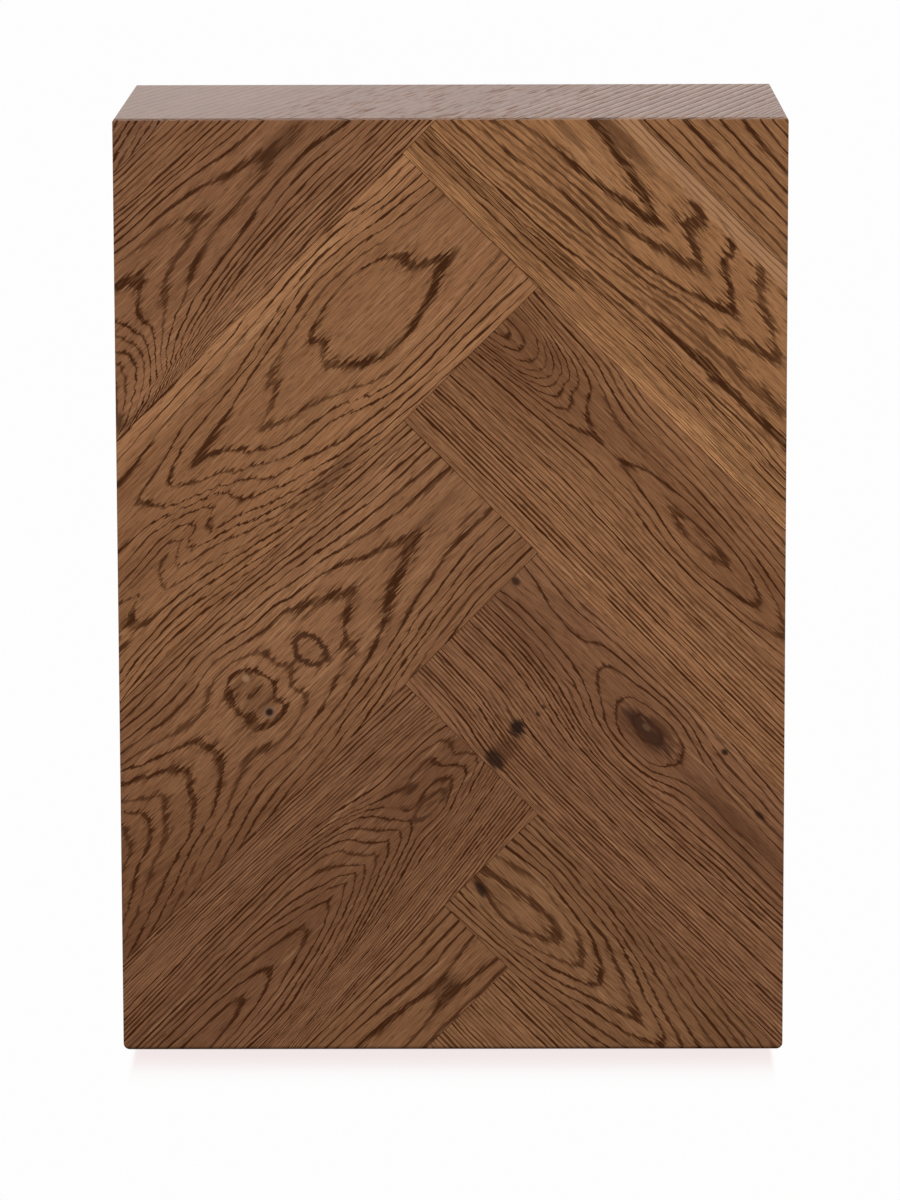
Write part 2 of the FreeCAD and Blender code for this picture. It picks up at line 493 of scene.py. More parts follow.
def spread_rings(lines):
    """Ring count at every level and station, as a thin sheet bent over the growth lines."""
    held = [line_points(points) for _, points in lines]
    counts = np.concatenate([np.full(len(points), float(ring)) for points, (ring, _) in zip(held, lines)])
    held = np.concatenate(held)
    plane = np.column_stack([np.ones(len(held)), held])
    stiffness = bending(distances_squared(held, held)) + LINE_EASE * np.eye(len(held))
    system = np.block([[stiffness, plane], [plane.T, np.zeros((3, 3))]])
    pull = np.linalg.solve(system, np.concatenate([counts, np.zeros(3)]))
    stations = np.linspace(0, CURVE_LENGTH, STATIONS) / GRAIN_STRETCH
    levels = np.linspace(0, BREADTH, LEVELS)
    grid = np.array([(station, level) for level in levels for station in stations])
    rings = bending(distances_squared(grid, held)) @ pull[:-3] + pull[-3] + grid @ pull[-2:]
    return rings.reshape(LEVELS, STATIONS)


def draw_curves(tree, position, rows):
    """Three smooth curves along the board, their values as shares of 0 to 1."""
    node = add_node(tree, "ShaderNodeRGBCurve", inputs={"Color": position})
    node.mapping.use_clip = False
    node.mapping.extend = "HORIZONTAL"
    for curve, row in zip(node.mapping.curves, rows):
        shares = list(zip(np.linspace(0, 1, len(row)), row))
        while len(curve.points) < len(shares):
            curve.points.new(0.5, 0.5)
        for point, share in zip(curve.points, shares):
            point.location = share
            point.handle_type = "AUTO"
    node.mapping.update()
    return node.outputs[0]


def draw_rings(tree, along, across, lines):
    """Ring count over the face of a board, and how fast it changes across the grain."""
    rings = spread_rings(lines)
    low, span = float(rings.min()), float(np.ptp(rings))
    share = calculate(tree, "DIVIDE", along, CURVE_LENGTH)
    position = gather(tree, share, share, share)
    here = calculate(tree, "DIVIDE", across, LEVEL_PITCH)
    here = calculate(tree, "MINIMUM", calculate(tree, "MAXIMUM", here, 0.0), LEVELS - 1.0)
    above = calculate(tree, "MAXIMUM", calculate(tree, "SUBTRACT", here, 1.0), 0.0)
    below = calculate(tree, "MINIMUM", calculate(tree, "ADD", here, 1.0), LEVELS - 1.0)
    places = gather(tree, here, above, below)
    sums = {"Here": low, "Change": 0.0}
    for first in range(0, LEVELS, 3):
        counts = draw_curves(tree, position, (rings[first : first + 3] - low) / span)
        weighed = place_group(
            tree, ring_levels, {"Counts": counts, "Places": places, "Levels": (first, first + 1, first + 2)}
        )
        for name, total in sums.items():
            sums[name] = calculate(tree, "MULTIPLY_ADD", weighed[name], span, total)
    slope = calculate(tree, "DIVIDE", calculate(tree, "ABSOLUTE", sums["Change"]), 2 * LEVEL_PITCH)
    return sums["Here"], slope


def draw_tone(tree, place, reach, points):
    """How light a board is along its length or over its breadth."""
    node = add_node(tree, "ShaderNodeFloatCurve")
    node.mapping.extend = "HORIZONTAL"
    curve = node.mapping.curves[0]
    while len(curve.points) < len(points):
        curve.points.new(0.5, 0.5)
    for point, (mark, tone) in zip(curve.points, points):
        point.location = (mark / reach, tone / 2)
    node.mapping.update()
    join(tree, calculate(tree, "DIVIDE", place, reach), node.inputs["Value"])
    return multiply(tree, node.outputs[0], 2.0)


# Growth lines of each stave: ring number, then the points that it runs through, as
# (mm along the stave from its inner upper corner, mm across from its upper edge).
GROWTH_LINES = {
    "head_stave_left_2": [
        (0, [(320, 96), (380, 108)]),
        (1, [(320, 100), (345, 103), (380, 111)]),
        (2, [(320, 104), (345, 107), (375, 115)]),
        (3, [(320, 107), (340, 111), (365, 117)]),
        (4, [(320, 111), (335, 114), (355, 118)]),
    ],
    "head_stave_left_1": [
        (-5, [(360, 97), (372, 108)]),
        (-4, [(352, 93), (358, 101), (368, 109)]),
        (-3, [(341, 86), (344, 93), (346, 98), (352, 103), (361, 109)]),
        (-2, [(339, 79), (334, 85), (332, 90), (334, 96), (340, 101), (348, 107), (356, 113)]),
        (-1, [(331, 72), (327, 77), (326, 84), (327, 91), (329, 97), (335, 103), (345, 109)]),
        (0, [(325, 65), (321, 72), (320, 80), (319, 86), (321, 92), (325, 98), (330, 104), (338, 111)]),
        (1, [
            (312, 50), (301, 53), (294, 58), (300, 65), (306, 69), (311, 73), (311, 79), (310, 84),
            (313, 89), (317, 95), (324, 103), (332, 111),
        ]),
        (2, [
            (300, 41), (287, 42.5), (275, 44.5), (255, 48), (246, 51), (239, 56), (248, 62), (268, 66),
            (283, 70.5), (288, 75), (290, 80), (296, 84), (303, 88), (308, 93), (316, 99), (326, 109),
        ]),
        (3, [
            (293, 36), (265, 39), (240, 41.5), (225, 45), (212, 50), (195, 54), (184, 58), (180, 63),
            (186, 66.5), (210, 69), (240, 70.5), (258, 74), (272, 81), (280, 86), (290, 89.5), (300, 94),
            (315, 102), (322, 110),
        ]),
        (4, [(165, 43.5), (195, 42), (215, 37.5), (240, 33.5), (275, 32), (290, 31)]),
        (4, [
            (135, 82), (150, 77.5), (165, 76), (180, 76), (208, 79), (228, 84), (255, 87.5), (280, 92),
            (303, 101), (315, 108),
        ]),
        (5, [(170, 37), (200, 34.5), (225, 31), (260, 28.5), (288, 27)]),
        (5, [(125, 88), (155, 85), (182, 84), (205, 87), (232, 90), (270, 95), (300, 104)]),
        (6, [(175, 33), (215, 29), (270, 25)]),
        (6, [(115, 93), (160, 90), (200, 90.5), (250, 95), (290, 103)]),
        (14, [(205, 2), (260, 1)]),
        (15, [(100, 118), (200, 117), (300, 119)]),
    ],
    "stave_left_1": [
        (-0.5, [(88, 57), (75, 45), (80, 70)]),
        (0.5, [(8, 64)]),
        (0, [
            (52, 39), (60, 35.5), (70, 32.5), (80, 31), (90, 31.5), (100, 32.5), (110, 34.5), (119, 37),
            (125, 41), (120, 46), (122, 51), (128, 58), (124, 64), (118, 71), (110, 78), (100, 82.5),
            (85, 83.5), (70, 80.5), (58, 77.5), (48, 74), (40, 70), (27, 65), (40, 59), (48, 53), (45, 47),
            (52, 39),
        ]),
        (1, [
            (0, 37), (20, 34), (40, 31.5), (55, 29), (70, 26), (90, 25), (105, 26), (120, 29), (135, 32),
            (150, 35.5), (160, 39), (159, 46), (166, 51), (177, 55.5), (188, 60), (180, 64), (170, 67.5),
            (158, 70), (146, 75), (134, 80.5), (124, 84), (112, 90), (100, 92), (70, 92.5), (50, 92.5),
            (30, 90.5), (0, 88),
        ]),
        (2, [
            (0, 30.5), (20, 28.5), (40, 25.5), (60, 21.5), (75, 20), (90, 19), (105, 20), (120, 23),
            (135, 25.5), (150, 28), (165, 31), (180, 34), (195, 37), (210, 40), (225, 42.5), (238, 46),
            (228, 47), (220, 49), (212, 54), (205, 62), (198, 68.5), (190, 74), (180, 77.5), (165, 80),
            (150, 81.5), (140, 85), (130, 90), (120, 95), (110, 97.5), (90, 98), (65, 97.5), (30, 96.5),
            (0, 95),
        ]),
        (3, [
            (0, 24), (30, 20), (50, 17), (70, 14), (90, 13), (105, 14), (120, 17), (140, 21.5), (155, 24),
            (170, 25.8), (185, 28), (200, 29.5), (225, 31), (235, 33.5), (243, 36), (250, 39.5), (254, 43),
            (250, 47), (244, 52), (235, 57), (225, 61), (220, 66), (210, 70.5), (203, 75), (195, 81),
            (187, 84.3), (170, 87), (150, 88.5), (135, 93.5), (120, 99), (100, 103), (80, 103.5),
            (50, 102.5), (20, 102), (0, 101),
        ]),
        (4, [
            (0, 18), (30, 15.5), (50, 12.5), (70, 10), (90, 9.5), (120, 13), (145, 18.5), (165, 22.5),
            (185, 23.8), (200, 22.5), (220, 23), (230, 26), (240, 29), (252, 31.5), (265, 33), (276, 36),
            (273, 41), (269, 48), (262, 55), (250, 60), (240, 64), (228, 69.5), (220, 74.5), (212, 80),
            (205, 86), (195, 89.5), (180, 93.5), (168, 98.5), (155, 102), (140, 104), (120, 106),
            (90, 109.5), (30, 109.5), (0, 111),
        ]),
        (5, [
            (0, 12), (30, 11), (60, 5.5), (90, 5), (120, 6.5), (150, 9.5), (180, 11.5), (220, 13.5),
            (240, 16), (260, 18.5), (280, 20),
        ]),
        (5, [
            (310, 51), (290, 51.5), (275, 54.5), (262, 59.5), (250, 63.5), (237, 68), (231, 74), (228, 81),
            (222, 86.5), (212, 91), (200, 95.5), (185, 101), (170, 105), (150, 108.5), (120, 112),
            (60, 115), (0, 117),
        ]),
        (6, [
            (0, 6.5), (30, 6.5), (60, 1), (100, 0.5), (140, 2), (160, 5), (200, 6.5), (240, 7.5), (270, 10),
        ]),
        (6, [
            (318, 59), (300, 58), (283, 58), (268, 62), (254, 66), (245, 70.5), (250, 76), (258, 82),
            (250, 85.5), (240, 88), (230, 91.5), (220, 96), (208, 100.5), (195, 104), (170, 109),
            (140, 114),
        ]),
        (7, [
            (325, 67), (302, 66), (290, 64), (278, 64.5), (265, 68.5), (260, 71), (270, 77), (277, 81.5),
            (268, 84.5), (255, 88), (243, 92.5), (230, 98), (212, 104), (185, 110), (160, 115),
        ]),
        (8, [
            (328, 70.5), (310, 70), (295, 69.5), (283, 69), (272, 71.5), (281, 77.5), (290, 84.5),
            (282, 87), (268, 89.5), (257, 92), (248, 96), (238, 100), (215, 107), (190, 112.5),
        ]),
        (9, [
            (318, 73), (300, 72.5), (291, 73), (298, 78), (303, 86), (301, 91), (288, 93), (275, 95.5),
            (263, 99.5), (250, 104), (225, 109), (200, 114),
        ]),
        (10, [
            (330, 74), (318, 76.5), (326, 82), (335, 86.5), (331, 92), (326, 96.5), (305, 97), (285, 99.5),
            (268, 102.5), (250, 107.5), (225, 113),
        ]),
        (11, [
            (366, 107), (350, 104), (330, 103), (310, 101.5), (295, 103), (280, 106.3), (260, 110),
            (235, 115),
        ]),
        (12, [(375, 112), (355, 108.5), (335, 107), (320, 106.7), (300, 109), (270, 113)]),
        (13, [(380, 116), (350, 112), (320, 110.5), (290, 113)]),
        (14, [(370, 118), (330, 114), (290, 117)]),
    ],
    "stave_left_2": [
        (-2.3, [(190, 56)]),
        (2.4, [(28, 57)]),
        (2.6, [(0, 58)]),
        (1.5, [(80, 58)]),
        (-0.5, [(221, 60)]),
        (0.22, [(141, 55), (138, 62), (139, 69), (147, 62), (155, 61)]),
        (-5, [(311, 52), (316, 62), (319, 68), (323, 73.5), (332, 77.5), (340, 80), (350, 88)]),
        (-4, [
            (311, 49), (302, 56), (297, 63), (301, 69), (304, 74), (310, 78), (322, 81.5), (334, 87),
            (343, 94), (352, 99), (362, 103),
        ]),
        (-3, [
            (305, 44), (296, 50), (288, 56.5), (280, 62), (288, 70), (294, 76), (302, 82), (312, 86.5),
            (322, 91), (335, 96.5), (350, 104), (369, 111),
        ]),
        (-2, [
            (296, 36.5), (283, 43), (268, 51), (261, 57), (257, 63), (264, 69), (268, 76), (273, 83),
            (281, 88), (289, 92.5), (305, 96.5), (322, 102), (340, 109), (362, 116),
        ]),
        (-1, [
            (291, 31), (270, 40), (255, 45), (243, 49), (239, 55), (237, 62), (239, 70), (242, 77),
            (250, 83.5), (260, 88), (268, 92), (295, 99), (320, 109), (345, 117),
        ]),
        (-1, [
            (184, 41), (197, 37.5), (203, 43), (207, 50), (207, 58), (204, 66), (206, 72), (202, 77.5),
            (190, 79.5), (182, 76.5), (184, 69), (178, 60), (179, 51), (184, 41),
        ]),
        (0, [
            (288, 28), (270, 32), (250, 37), (240, 40.5), (230, 41.5), (220, 40), (212, 36), (205, 31.5),
            (198, 30.5), (190, 32.5), (178, 36), (170, 40), (169, 48), (167, 55), (164, 60), (168, 64),
            (172, 69), (171, 76), (170, 81), (176, 86), (185, 88.5), (205, 90), (212, 87), (218, 82.5),
            (226, 83), (240, 89), (255, 95.5), (275, 100.5), (300, 108), (325, 117),
        ]),
        (1, [
            (280, 23), (255, 26.5), (243, 28.5), (230, 28.5), (215, 27.5), (198, 24), (180, 27),
            (163, 30.5), (157, 32), (148, 31), (139, 32.5), (130, 36.5), (124, 39.5), (118, 44),
            (108, 48.5), (100, 53), (107, 57), (118, 65), (128, 73), (124, 78), (131, 83), (145, 85.5),
            (155, 89), (163, 92), (180, 95), (203, 97), (222, 95), (240, 97.5), (255, 101), (275, 107.5),
            (300, 115),
        ]),
        (2, [
            (277, 18), (255, 20.5), (230, 22), (215, 20.5), (200, 18.5), (180, 20.5), (155, 25),
            (145, 24.5), (133, 28.5), (120, 30.5), (108, 32), (95, 36), (86, 39.5), (78, 45), (66, 49),
            (52, 55), (46, 58), (56, 61), (70, 66), (82, 72), (92, 76.5), (100, 82.5), (115, 88.5),
            (135, 94.5), (155, 99.5), (180, 102), (205, 104), (225, 103.5), (245, 107), (270, 114),
        ]),
        (3, [
            (272, 12), (250, 14.5), (230, 15), (205, 12.5), (180, 14.5), (157, 18.5), (140, 20),
            (120, 23.5), (100, 26.5), (85, 31), (65, 35), (40, 39), (0, 41),
        ]),
        (3, [
            (0, 80), (25, 79), (50, 81.5), (75, 86.5), (95, 92.5), (120, 98.5), (150, 103), (180, 107),
            (205, 109.5), (230, 110.5), (255, 116),
        ]),
        (4, [
            (267, 8.5), (225, 8.5), (200, 8.5), (160, 12), (130, 15.5), (105, 19.5), (75, 25), (45, 29),
            (0, 33),
        ]),
        (4, [(0, 87.5), (25, 87), (55, 91), (80, 94.5), (110, 101), (140, 107), (175, 111.5), (220, 116)]),
        (5, [(0, 24), (45, 22), (85, 17), (130, 10.5), (170, 7), (220, 5)]),
        (5, [(0, 94.5), (30, 94), (70, 98), (110, 106), (150, 112.5), (180, 117)]),
        (6, [(0, 19.5), (30, 18), (60, 15.5), (100, 10), (150, 4.5)]),
        (6, [(0, 100), (35, 98.7), (75, 103.5), (130, 113.5)]),
        (7, [(0, 15), (40, 12.5), (80, 9), (130, 4)]),
        (7, [(0, 106), (20, 104), (50, 104), (80, 107.5), (115, 113)]),
        (8, [(0, 11), (50, 8), (100, 3)]),
        (8, [(0, 110.5), (40, 109), (75, 112.5), (100, 116.5)]),
        (9, [(0, 7.5), (60, 4)]),
        (9, [(0, 115), (50, 114.5)]),
        (10, [(0, 3.5)]),
    ],
    "stave_left_3": [
        (0, [
            (272, 65.5), (255, 66), (235, 66.5), (225, 68), (218, 70.5), (224, 74), (232, 76.5),
            (258, 79.5),
        ]),
        (1, [
            (268, 60.5), (235, 61), (213, 63.5), (200, 66), (193, 69.5), (198, 74), (210, 79), (222, 82),
            (253, 84),
        ]),
        (2, [
            (284, 54.5), (250, 54.5), (218, 56), (198, 58), (180, 61), (166, 62.5), (157, 66.5),
            (161, 70.5), (172, 75.5), (185, 79), (200, 83), (250, 87),
        ]),
        (3, [
            (285, 51.5), (217, 51.3), (200, 51.5), (183, 52.5), (167, 56), (150, 59.5), (140, 62),
            (135, 66), (140, 70), (153, 76), (180, 83), (220, 90),
        ]),
        (4, [
            (290, 48.5), (210, 48.3), (175, 50), (160, 53), (142, 57), (126, 60.5), (119, 63.5), (125, 68),
            (140, 76), (165, 83.5), (210, 93),
        ]),
        (5, [
            (290, 45.5), (230, 45.5), (190, 45.5), (160, 48), (145, 50.5), (130, 55.5), (116, 60),
            (110, 64), (115, 69), (130, 76.5), (170, 88), (200, 95.5),
        ]),
        (6, [
            (280, 42), (200, 42), (150, 42.7), (135, 45), (122, 48.5), (113, 54.5), (106, 61), (102, 65),
            (107, 70), (125, 78.5), (165, 91), (200, 98.5),
        ]),
        (7, [
            (200, 39), (140, 39.7), (115, 42.5), (106, 47), (104, 53), (97, 61), (92, 65.5), (97, 70),
            (120, 80.5), (160, 93.5),
        ]),
        (8, [
            (200, 35.5), (140, 36), (112, 38.5), (101, 42.5), (95, 49), (90, 57), (80, 64.5), (86, 70),
            (110, 80), (150, 93.5),
        ]),
        (9, [
            (200, 32), (150, 32.5), (125, 34.5), (105, 38.5), (90, 43.5), (84, 51), (77, 59), (70, 65.5),
            (74, 71), (100, 80), (140, 93),
        ]),
        (10, [
            (150, 28.8), (125, 31.3), (100, 35), (82, 40), (76, 45.5), (70, 53), (65, 59), (62, 63),
            (64, 68), (72, 73.5), (100, 83.5),
        ]),
        (11, [
            (125, 28.7), (100, 32.5), (85, 36.5), (76, 41), (68, 46.5), (63, 53), (60, 59), (55, 61),
            (48, 60.5), (42, 58.5), (35, 57), (30, 58), (24, 62), (22.5, 64), (25, 67), (30, 70.5),
            (36, 74), (42, 76), (55, 75.5), (70, 77), (100, 87),
        ]),
        (12, [
            (125, 26.3), (100, 30), (85, 34.5), (70, 40.5), (62, 42), (57, 43), (52, 45.5), (48, 47.5),
            (42, 46.3), (35, 44.8), (30, 44.3), (23, 45), (21.5, 49), (22, 53), (19, 57), (13, 61),
            (11.5, 65), (14, 69), (22, 72), (30, 76), (40, 79), (55, 79.5), (70, 81),
        ]),
        (13, [
            (125, 24), (100, 27.5), (75, 34.3), (60, 38), (40, 38.5), (22, 38.5), (12, 41), (7, 44),
            (6.5, 48), (10, 53), (9, 57), (3, 60), (0, 64), (2, 68), (10, 72), (20, 75.5), (30, 79),
            (45, 82), (60, 82.5),
        ]),
        (14, [(0, 38), (12, 36), (22, 35), (45, 34.5), (60, 34), (80, 29.5)]),
        (15, [(0, 34), (10, 31.8), (25, 31.5), (45, 31), (60, 30), (80, 26.5)]),
        (16, [(0, 30), (20, 27), (50, 26.2), (70, 24.5), (200, 18)]),
        (21, [(0, 18), (60, 15), (120, 11.5), (200, 10), (265, 10)]),
        (25, [(0, 7), (60, 5), (120, 3), (260, 2)]),
        (19, [(0, 84), (60, 95), (130, 104), (210, 112)]),
        (27, [(0, 102), (60, 110), (110, 116.5)]),
        (33, [(0, 116), (30, 119)]),
    ],
    "stave_left_4": [
        (-0.5, [(5, 38), (75, 37), (95, 36)]),
        (-0.12, [(33, 38.5), (42, 38.5)]),
        (0, [
            (0, 27), (10, 28), (20, 30), (28, 32), (38, 33), (48, 33), (56, 31), (68, 29), (80, 27.5),
            (105, 25.5),
        ]),
        (0, [(0, 49.5), (12, 47.5), (25, 46), (36, 44.5), (46, 44), (54, 45.5), (60, 46.5), (83, 47.5)]),
        (1, [(0, 20), (15, 20.5), (38, 22.5), (60, 20.5), (75, 19), (115, 16.5)]),
        (2, [(0, 13.5), (40, 14.8), (70, 12.5), (120, 12)]),
        (3, [(0, 5.5), (40, 7), (100, 7.8), (125, 7)]),
        (4, [(0, 0.5), (60, 3), (130, 3)]),
        (1, [(0, 56), (60, 55.5)]),
    ],
    "head_stave_right_2": [
        (-2, [(270, 61), (290, 63)]),
        (0, [(255, 73), (270, 76), (300, 77.5)]),
        (1, [(245, 84.5), (275, 86), (310, 86.5)]),
        (2, [(240, 90), (270, 91), (315, 93)]),
        (3, [(228, 100.5), (260, 101), (330, 100.5)]),
        (4, [(220, 108), (260, 107.5), (320, 107)]),
        (5, [(215, 113), (260, 113), (340, 114)]),
        (6, [(210, 118), (340, 119)]),
    ],
    "head_stave_right_1": [
        (-0.5, [(70, 29), (90, 37), (60, 45)]),
        (0, [
            (65, 21.5), (80, 23), (95, 25.5), (115, 29), (125, 31.5), (133, 34), (140, 36.5), (147, 38.5),
            (138, 41), (120, 44.5), (105, 47), (90, 49), (75, 50.5), (60, 51.5), (32, 55),
        ]),
        (0.5, [(120, 14), (135, 22), (140, 30)]),
        (0.88, [
            (138, 8), (148, 12), (156, 17), (159, 21), (153, 25), (159, 29), (168, 32), (174, 36),
            (178, 38.5),
        ]),
        (1.12, [
            (145, 8), (157, 12), (165, 17), (168, 21), (162, 25), (168, 29.5), (177, 33), (185, 37),
            (190, 39.5),
        ]),
        (1, [
            (184, 41), (173, 43.5), (155, 48), (145, 50.5), (138, 53), (128, 55.5), (115, 57), (85, 58.5),
            (45, 62), (20, 66),
        ]),
        (1.5, [(178, 14), (182, 24)]),
        (2, [
            (174, 8), (184, 12), (190, 17), (191, 23), (193, 27.5), (200, 31), (207, 35), (214, 39),
            (220, 44), (212, 47.5), (197, 53), (182, 57.5), (165, 61), (150, 63.5), (125, 65), (90, 66.5),
            (65, 70), (45, 72.5), (12, 76),
        ]),
        (2.5, [(200, 17), (206, 27), (235, 42)]),
        (3, [
            (200, 8), (211, 13), (218, 19), (222, 24), (230, 28), (238, 32), (245, 36), (252, 39.5),
            (261, 43), (254, 47), (245, 50), (228, 56), (208, 60.5), (185, 63.8), (172, 67.5), (155, 70.5),
            (120, 74.5), (85, 78), (45, 82.5), (10, 83.5),
        ]),
        (3.5, [(232, 17), (245, 27), (280, 52)]),
        (4, [
            (291, 66), (265, 67.5), (250, 69), (230, 69), (200, 71), (180, 73), (155, 78), (120, 81.5),
            (80, 86), (60, 88), (5, 90.5),
        ]),
        (5, [
            (302, 79), (275, 80.5), (235, 78.5), (205, 80.5), (170, 84.5), (135, 87.5), (100, 91.5),
            (60, 93.5), (0, 96),
        ]),
        (6, [(317, 93), (280, 90), (235, 91.5), (200, 90), (150, 92.5), (90, 97), (0, 99.5)]),
        (8, [(320, 98.5), (240, 96), (200, 95.5), (130, 98), (90, 100.5), (0, 103)]),
        (10, [(320, 103), (200, 100.5), (100, 105), (0, 107)]),
        (12, [(300, 107), (200, 106), (120, 108.5), (60, 110), (0, 111.5)]),
        (13.5, [(320, 111), (200, 110), (0, 115)]),
        (15, [(320, 115.5), (200, 114.5), (0, 118.5)]),
    ],
    "stave_right_1": [
        (-0.3, [(0, 35)]),
        (0, [(0, 31), (8, 32), (11, 34.5), (8, 38), (0, 40)]),
        (1, [(0, 28), (10, 28.5), (16, 30), (20, 33.5), (18, 38), (10, 42), (0, 45)]),
        (2, [(0, 21), (10, 21), (20, 22), (28, 26), (31.5, 31), (31, 36), (26, 41), (18, 44), (0, 47)]),
        (3, [(0, 19), (20, 20.3), (30, 24), (36, 28), (39, 33), (37, 38), (30, 43), (20, 46), (0, 48.5)]),
        (4, [
            (0, 17), (20, 18.6), (30, 21.5), (38, 25), (44, 29), (46, 33), (44, 38), (38, 42.5), (30, 46),
            (0, 50),
        ]),
        (5, [
            (0, 15), (30, 18.8), (40, 22), (46, 25), (49.5, 30), (51, 35), (49, 40), (42, 44.5), (30, 48),
            (0, 51.5),
        ]),
        (6, [
            (0, 13), (35, 17.5), (45, 20), (52, 23.5), (56, 28), (56, 33), (58, 38), (57, 42), (48, 45.5),
            (30, 49.5), (0, 53),
        ]),
        (7, [
            (0, 11), (40, 15.5), (51, 19), (58, 22), (62, 27), (63, 31), (67, 36), (68, 40), (66, 44),
            (55, 47.7), (40, 50), (0, 55),
        ]),
        (8, [
            (0, 9), (45, 13.5), (60, 17), (69, 21), (73, 28), (79, 35.5), (90, 39.5), (99, 40.7),
            (90, 43.3), (78, 47.5), (65, 49.8), (45, 52), (0, 57),
        ]),
        (8.5, [(107, 40)]),
        (9, [
            (0, 7), (50, 11), (70, 15.5), (85, 21), (95, 24), (112, 26), (130, 25), (150, 24.5), (170, 25),
            (190, 26.5), (210, 28), (230, 30.5), (245, 34), (258, 39), (271, 47), (262, 51.5), (250, 55),
            (225, 57), (195, 58.5), (175, 57.5), (155, 53.5), (140, 51.5), (105, 51), (75, 53.5), (40, 56),
            (0, 59.5),
        ]),
        (8, [
            (116, 40.3), (124, 37), (131, 34), (150, 31), (170, 29.5), (190, 30), (210, 31.5), (225, 34.5),
            (237, 38.5), (244, 43), (240, 48), (225, 51), (205, 54.5), (185, 54), (165, 51), (145, 47),
            (130, 44.3), (116, 40.3),
        ]),
        (7, [
            (157, 39.2), (168, 37), (180, 35.8), (200, 36.8), (212, 39.5), (203, 43.5), (185, 46),
            (172, 43.8), (157, 39.2),
        ]),
        (6.6, [(186, 40.5)]),
        (10, [
            (0, 4), (60, 8), (80, 13.5), (100, 18.5), (130, 20.3), (160, 19.5), (190, 21), (220, 24),
            (245, 29),
        ]),
        (10, [
            (0, 62), (50, 59.5), (80, 57.5), (100, 55.5), (130, 57), (170, 61), (200, 62), (240, 60),
            (281, 56),
        ]),
        (11, [(60, 4), (80, 8.5), (100, 12.5), (130, 14), (160, 14.5), (190, 17), (220, 20), (240, 23)]),
        (11, [(0, 65), (60, 62), (100, 59.5), (130, 60), (170, 64), (210, 65.3), (250, 64), (283, 62)]),
        (12, [(80, 4), (100, 8), (140, 9.5), (190, 12.5), (235, 17)]),
        (13, [(100, 3.5), (150, 4.5), (200, 7.5), (230, 11)]),
        (14, [(150, 0), (200, 3)]),
        (14, [(0, 73.5), (100, 69), (200, 74), (290, 72)]),
        (22, [(0, 94), (100, 91.5), (200, 95), (310, 96)]),
        (31, [(0, 117), (330, 118)]),
    ],
    "stave_right_2": [
        (-3.4, [(128, 32)]),
        (-3, [(117, 30), (122, 27), (135, 26.5), (143, 31), (138, 36), (124, 36), (117, 30)]),
        (-2, [
            (115, 21.5), (108, 24), (105.5, 29), (107, 35), (111, 41), (120, 45.5), (133, 46.8), (147, 46),
            (155, 42), (159, 36), (160, 31), (156, 24), (147, 20.5), (133, 20), (122, 20.3), (115, 21.5),
        ]),
        (-1.4, [(175, 30), (200, 31), (245, 33)]),
        (-1, [
            (245, 26.5), (200, 24), (176, 21), (160, 17), (145, 13.8), (125, 13.3), (108, 14.8), (95, 17),
            (84, 19), (81, 23), (81, 27), (85, 31.5), (92, 37), (100, 42), (108, 47), (120, 49.8),
            (135, 50.3), (147, 49.5), (157, 46), (166, 41.8), (176, 39.3), (200, 37.8), (253, 37.5),
        ]),
        (-0.5, [(20, 26), (60, 27)]),
        (0, [
            (0, 11.5), (10, 13.5), (20, 16), (30, 19), (42, 20.8), (54, 21.3), (62, 19.5), (64, 16.5),
            (70, 13.5), (85, 11.5), (110, 10), (130, 9), (150, 11), (165, 15.5), (180, 18.3), (205, 19.8),
            (243, 21.3),
        ]),
        (0, [
            (0, 34.5), (10, 33), (20, 32), (40, 32.5), (55, 34), (70, 36.5), (82, 39), (92, 44), (102, 49),
            (115, 53), (135, 54.5), (152, 53), (164, 48.5), (180, 44.3), (205, 42.5), (258, 42),
        ]),
        (1, [(0, 6), (40, 8.5), (75, 6.5), (110, 5), (140, 5), (180, 11), (236, 15)]),
        (1, [
            (0, 38.7), (20, 37.2), (40, 38.5), (60, 40), (75, 43.3), (90, 49), (102, 54), (130, 58),
            (155, 56), (172, 50.8), (200, 48.2), (265, 48.5),
        ]),
        (2, [(0, 1.5), (45, 4), (80, 1.5), (140, 1), (190, 6), (228, 9)]),
        (2, [
            (0, 43), (40, 43.5), (70, 47.5), (100, 57), (130, 61), (160, 59.5), (180, 55.5), (220, 53.3),
            (272, 53.5),
        ]),
        (3, [(180, 0.5), (220, 4)]),
        (3, [(0, 46.5), (40, 47), (70, 51.5), (100, 60), (130, 64), (170, 61.5), (220, 57), (277, 56.5)]),
        (9, [(0, 62), (40, 62.5), (65, 67), (100, 74), (160, 76.5), (290, 72)]),
        (16, [(0, 80), (40, 81), (60, 85), (66, 88), (76, 88), (100, 91), (200, 92.5), (310, 90)]),
        (22, [(0, 95), (40, 96.5), (60, 101), (80, 104), (120, 105.5), (320, 105)]),
        (28, [(0, 110), (40, 112), (60, 117), (120, 119.5), (330, 119)]),
    ],
    "stave_right_3": [
        (-0.4, [(38, 54)]),
        (0, [
            (0, 49), (10, 48), (20, 45.5), (30, 44), (45, 42.8), (58, 43.2), (65, 47), (67, 50.5),
            (62, 54.5), (56, 58), (48, 62), (35, 64), (22, 62.5), (10, 60), (0, 59.5),
        ]),
        (1, [
            (0, 38), (10, 36), (20, 33), (30, 31.5), (38, 31), (48, 33.3), (62, 35), (75, 37.8), (84, 43),
            (86, 47), (90, 51), (82, 56), (70, 61), (57, 65), (42, 68), (20, 68.5), (0, 66.5),
        ]),
        (2, [
            (0, 29.5), (20, 27), (35, 26), (50, 28), (80, 32), (90, 36.5), (97, 40), (101, 45), (107, 51),
